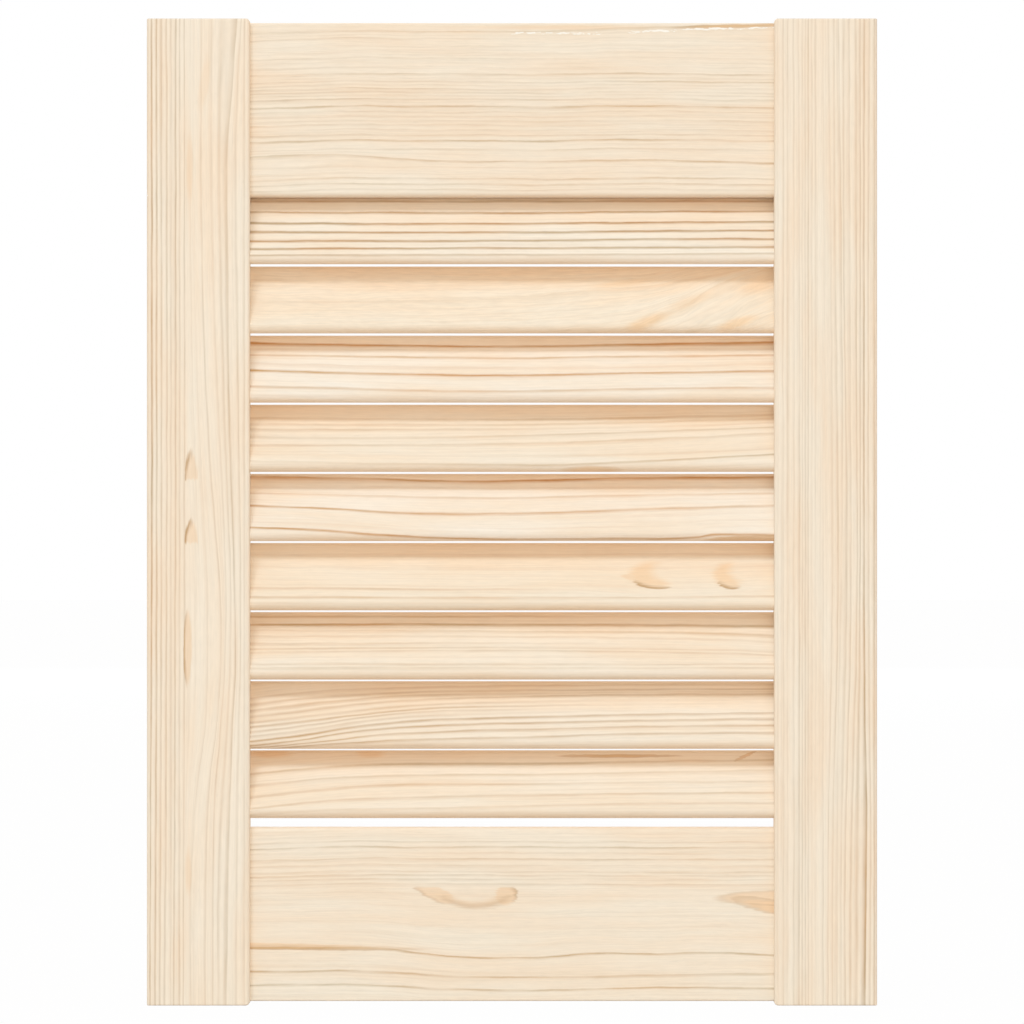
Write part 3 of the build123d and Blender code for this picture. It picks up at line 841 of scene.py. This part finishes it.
# The cross members. Their grain runs across, and v is up
rails = {
    "inner": 2.0, "outer": 0.6,
    "ends": 105.0,
    "boards": {
        "topRail": {"seed": 31, "sway": 0.35, "heart": (-110.0, 24.0),
            "drift": [-0.9, (-85, -0.3), (-65, 0.3), (-45, 0.1), (-20, 0), (20, -0.2), (45, 0.3),
                      (70, 0.1), -0.4],
            "rings": [
            (0.4, 0.35, -32.0), (0.45, 0.45, -29.8), (0.4, 0.6, -27.5), (0.15, 0.15, -25.5),
            (0.15, 0.15, -23),
            (0.6, 0.7, [-18.1, (-70, -17.8), (-50, -19.6), (-10, -20.6), (20, -20.3), (50, -20.3), -20.8]),
            (0.25, 0.25, -15.8), (0.75, 0.7, -12.2), (0.45, 0.35, -10), (0.2, 0.2, -8), (0.4, 0.2, -6),
            (0.2, 0.3, -4.5), (0.2, 0.2, -2.6), (0.3, 0.3, -0.8), (0.8, 0.75, 1.4), (0.5, 0.4, 4.3),
            (0.25, 0.2, 5.8), (0.35, 0.3, 7), (0.45, 0.2, 8.5), (0.2, 0.2, 10), (0.2, 0.55, 11.3),
            (0.15, 0.15, 12.6), (0.35, 0.5, 14.4), (0.15, 0.15, 17), (0.15, 0.15, 19), (0.35, 0.15, 20.7),
            (0.15, 0.15, 23), (0.15, 0.15, 25.5), (0.25, 0.1, 28.6),
            (0.3, 0.7, [31.5, (0, 31.8), (45, 32.6), (70, 33.4), 34.4])],
            # lifted fibres along the top edge: raised in relief, and painted near white as the highlight that
            # they catch
            "torn": {"path": [31, (0, 31.4), (45, 31.6), (70, 32.7), 33.6],
                     "strip": [(-0.4, 0), (0.3, 1), (0.8, 1), (1.7, 0)],
                     "share": [0, (-6, 0), (0, 0.44), (20, 0.47), (26, 0.52), (36, 0.44), (42, 0.1),
                               (47, 0.52), (70, 0.52), (80, 0.54), 0.5],
                     "fleck": (3.0, 0.9, 0.9), "levels": (0.98, 1.04)},
            "marks": [
            {"fill": 0.7, "rim": 0.25, "Rim From": -3.0, "Centre": (90, 33.7, 6), "Size": (26, 0.9, 8),
             "Turn": 0.025, "Softness": 0.7},
            {"fill": 0.35, "Centre": (20, 33.2, 6), "Size": (60, 1.6, 8), "Softness": 0.8}]},
        "bottomRail": {"seed": 32, "sway": 0.3, "heart": (-110.0, 24.0),
            "drift": [-0.9, (-80, -0.2), (-60, 0.3), (-40, 0.1), (0, 0.1), (40, -0.1), -0.1],
            "rings": [
            (0.75, 0.75, [-27.6, (-60, -28.7), (-45, -29.1), (-30, -30.1), (20, -30.5), (40, -29.7),
                          -29.9]),
            (0.75, 0.65, [-22.1, (-60, -23.2), (-45, -23.6), (-30, -24.6), (-15, -25.4), (0, -25.5),
                          (40, -24.9), (60, -24.4), -23.6]),
            (1.0, 0.9, [-12.5, (-80, -13.2), (-65, -13.6), (-50, -14.3), (-35, -16.1), (-25, -17.1),
                        (-10, -17.7), (10, -17.4), (32, -15.9), (60, -15.9), (75, -15.3), -16.4]),
            (0.3, 0.3, 12), (0.45, 0.25, 13.9), (0.5, 0.35, 15.5), (0.35, 0.35, 17), (0.35, 0.25, 19.5),
            (0.45, 0.55, 22.1), (0.15, 0.35, 24.5), (0.6, 0.6, 26.8), (0.35, 0.35, 29), (0.15, 0.1, 31)],
            "marks": [
            {"fill": 0.5, "rim": 0.5, "Rim From": -0.6, "Centre": (-120, -12.4, 6), "Size": (92, 1.7, 12),
             "Turn": -0.018, "Softness": 0.5, "Lean": (0, -0.6, 0)},
            {"fill": 0.4, "rim": 0.3, "Centre": (-31, 8.6, 6), "Size": (10.6, 3.3, 8), "Turn": -0.42,
             "Cut": (0, 1, 0), "Cut Place": 11.2, "Lean": (-0.4, -0.9, 0)},
            {"fill": 0.4, "rim": 0.35, "Centre": (-14.5, 10.4, 6), "Size": (17.4, 8.8, 8), "Lean": (0, -1, 0),
             "Inner Centre": (-15, 11.6, 6), "Inner Size": (15.6, 8.6, 12), "Cut": (0, 1, 0), "Cut Place": 8},
            {"fill": 0.45, "rim": 0.5, "Centre": (-2.4, 7.6, 6), "Size": (5.2, 4.6, 8), "Turn": 0.5,
             "Cut": (0, 1, 0), "Cut Place": 11.2, "Lean": (0.9, 0.1, 0)},
            {"fill": 0.45, "rim": 0.25, "Rim From": 0.6, "Centre": (106, 6.4, 6), "Size": (26, 3.3, 8)},
            {"fill": 0.65, "rim": 0.3, "Centre": (106, 2.6, 6), "Size": (20, 3.2, 8), "Turn": -0.2,
             "Softness": 0.5}]},
    },
}


def buildRail(name, node):
    low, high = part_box(node)
    towardsSlats, away = ("-", "+") if name == "topRail" else ("+", "-")
    easings = {"0" + face + towardsSlats: rails["inner"] for face in "-+"}
    easings.update({"0" + face + away: rails["outer"] for face in "-+"})
    piece = easedBoard(name, low, high, easings)
    dowels = [n for n in sorted(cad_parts) if n.startswith(node.split("_")[0]) and "_dowel_" in n]
    bores = dowelHoles(dowels, stiles["boreClearance"], stiles["boreEndClearance"])
    cutter = addObject(name + "Bores", bpy.data.meshes.new(name + "Bores"))
    bores.to_mesh(cutter.data)
    bores.free()
    cutOut(piece, cutter)

    upright = Matrix.Rotation(pi / 2, 3, "X").to_euler()
    dressBoard(piece, node, {"ends": rails["ends"], **rails["boards"][name]}, upright, (0, 2, 1))


buildRail("topRail", "top_rail")
buildRail("bottomRail", "bottom_rail")
print("rails: two, between the stiles")


# Beech dowels, turned and glued in: pinkish tan with short darker ray flecks, sealed in the joints
dowels = {
    "wood": "DDB892", "fleck": "B98A60",
    "fleckSize": (2.6, 0.35, 0.35), "fleckLevels": (0.56, 0.68),
    "roughness": 0.6, "relief": 0.03,
}


def makeBeech():
    material, tree = newMaterial("beechTurned")
    place = addNode(tree, "ShaderNodeMapping", {
        "Vector": addNode(tree, "ShaderNodeTexCoord").outputs["Object"],
        "Scale": [1 / (size * mm) for size in dowels["fleckSize"]]})
    noise = addNode(tree, "ShaderNodeTexNoise", {"Vector": place, "Scale": 1.0, "Detail": 2.0})
    low, high = dowels["fleckLevels"]
    fleck = addNode(tree, "ShaderNodeMapRange", {"Value": noise, "From Min": low, "From Max": high})
    colour = addNode(tree, "ShaderNodeMix", {"Factor": fleck, "A": linearColour(dowels["wood"]),
                                             "B": linearColour(dowels["fleck"])}, data_type="RGBA")
    bump = addNode(tree, "ShaderNodeBump", {"Height": noise, "Strength": 1.0,
                                            "Distance": dowels["relief"] * mm})
    surface = addNode(tree, "ShaderNodeBsdfPrincipled", {
        "Base Color": colour, "Roughness": dowels["roughness"], "Normal": bump})
    addNode(tree, "ShaderNodeOutputMaterial", {"Surface": surface})
    return material


beech = makeBeech()
for node in sideDowels["left"] + sideDowels["right"]:
    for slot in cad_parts[node].material_slots:
        slot.material = beech
print("dowels: eight")


# The studio: a white floor that keeps the door's shadow, a white surround whose light is a little
# cool in front and warm behind, a soft key lamp above left, a weaker warm fill near the camera and
# a cool one behind, which brings the door's back near the plain level of its face
studio = {
    "floorSize": 60.0, "floorDiffuse": "D3C9C1", "floorWhite": 0.985,
    "key": {"share": 0.22, "colour": "DFF0FF", "azimuth": 15.0, "elevation": 41.0,
            "wide": 5.5, "tall": 2.2},
    "fill": {"share": 0.13, "colour": "FFF0DF", "azimuth": -8.0, "elevation": 6.0,
             "wide": 6.0, "tall": 4.0},
    "rear": {"share": 0.19, "colour": "C0E6FF", "azimuth": 180.0, "elevation": 8.0,
             "wide": 6.0, "tall": 3.0},
    "lampDistance": 14.0,
    "skyFront": "ECF1EF", "skyAbove": "B1BECC", "skyBack": "F0D5BC",
    "above": (0.5, 0.85), "behind": (-0.1, 0.1),  # where one sky turns into the next
}


def seenRays(tree):
    # one for what the camera sees straight, in gloss or through glass, none for what lights the door
    rays = addNode(tree, "ShaderNodeLightPath").outputs
    seen = addNode(tree, "ShaderNodeMath", {0: rays["Is Camera Ray"], 1: rays["Is Glossy Ray"]},
                   operation="MAXIMUM")
    return addNode(tree, "ShaderNodeMath", {0: seen, 1: rays["Is Transmission Ray"]}, operation="MAXIMUM")


def makeFloor():
    half = studio["floorSize"] / 2
    mesh = bpy.data.meshes.new("floor")
    corners = [(doorCentre.x + x * half, y * half, doorLow.z)
               for x, y in ((-1, -1), (1, -1), (1, 1), (-1, 1))]
    mesh.from_pydata(corners, [], [(0, 1, 2, 3)])
    floor = addObject("floor", mesh)
    material, tree = newMaterial("paperWhite")
    share = addNode(tree, "ShaderNodeMath", {0: seenRays(tree), 1: studio["floorWhite"]},
                    operation="MULTIPLY")
    paper = addNode(tree, "ShaderNodeBsdfDiffuse", {"Color": linearColour(studio["floorDiffuse"])})
    white = addNode(tree, "ShaderNodeEmission", {"Color": (1, 1, 1, 1), "Strength": 1.0})
    mixed = addNode(tree, "ShaderNodeMixShader", {0: share, 1: paper, 2: white})
    addNode(tree, "ShaderNodeOutputMaterial", {"Surface": mixed})
    mesh.materials.append(material)


def makeWorld():
    world = bpy.data.worlds.new("studio")
    bpy.context.scene.world = world
    world.use_nodes = True
    tree = world.node_tree
    tree.nodes.clear()
    direction = addNode(tree, "ShaderNodeTexCoord").outputs["Generated"]
    direction = addNode(tree, "ShaderNodeSeparateXYZ", {"Vector": direction}).outputs
    shares = {}
    for side, axis in (("above", "Z"), ("behind", "Y")):
        low, high = studio[side]
        shares[side] = addNode(tree, "ShaderNodeMapRange", {
            "Value": direction[axis], "From Min": low, "From Max": high})
    front = addNode(tree, "ShaderNodeMix", {
        "Factor": shares["above"], "A": linearColour(studio["skyFront"]),
        "B": linearColour(studio["skyAbove"])}, data_type="RGBA")
    sky = addNode(tree, "ShaderNodeMix", {
        "Factor": shares["behind"], "A": front, "B": linearColour(studio["skyBack"])}, data_type="RGBA")
    colour = addNode(tree, "ShaderNodeMix", {"Factor": seenRays(tree), "A": sky, "B": (1, 1, 1, 1)},
                     data_type="RGBA")
    light = addNode(tree, "ShaderNodeBackground", {"Color": colour, "Strength": 1.0})
    addNode(tree, "ShaderNodeOutputWorld", {"Surface": light})


def makeLamp(name):
    # a soft lamp; its power follows from the share of white that it gives the door's face or back
    lamp = studio[name]
    azimuth, elevation = radians(lamp["azimuth"]), radians(lamp["elevation"])
    toLamp = Vector((-sin(azimuth) * cos(elevation), -cos(azimuth) * cos(elevation), sin(elevation)))
    light = bpy.data.lights.new(name, "AREA")
    light.shape = "RECTANGLE"
    light.size = lamp["wide"]
    light.size_y = lamp["tall"]
    light.color = linearColour(lamp["colour"])[:3]
    light.energy = lamp["share"] * (pi * studio["lampDistance"]) ** 2 / abs(toLamp.y) / light.color[1]
    placed = addObject(name, light)
    placed.location = doorCentre + toLamp * studio["lampDistance"]
    placed.rotation_euler = (-toLamp).to_track_quat("-Z", "Y").to_euler()


camera = {
    "distance": 6.5,  # so far off that all the gaps are seen almost square on
    "scale": 2.4925,  # pixels to a millimetre at the stiles' faces
    "imageSize": 1024,
    "sensor": 36.0,
}


def makeCamera():
    lens = bpy.data.cameras.new("camera")
    seenWidth = camera["imageSize"] / camera["scale"] * mm
    lens.sensor_width = camera["sensor"]
    lens.lens = camera["sensor"] * camera["distance"] / seenWidth
    lens.clip_end = 50.0
    view = addObject("camera", lens)
    view.location = (doorCentre.x, doorLow.y - camera["distance"], doorCentre.z)
    view.rotation_euler = (pi / 2, 0, 0)
    bpy.context.scene.camera = view


makeFloor()
makeWorld()
makeLamp("key")
makeLamp("fill")
makeLamp("rear")
makeCamera()
bpy.context.scene.view_settings.view_transform = "Standard"
print("studio: floor, world, three lamps and camera")
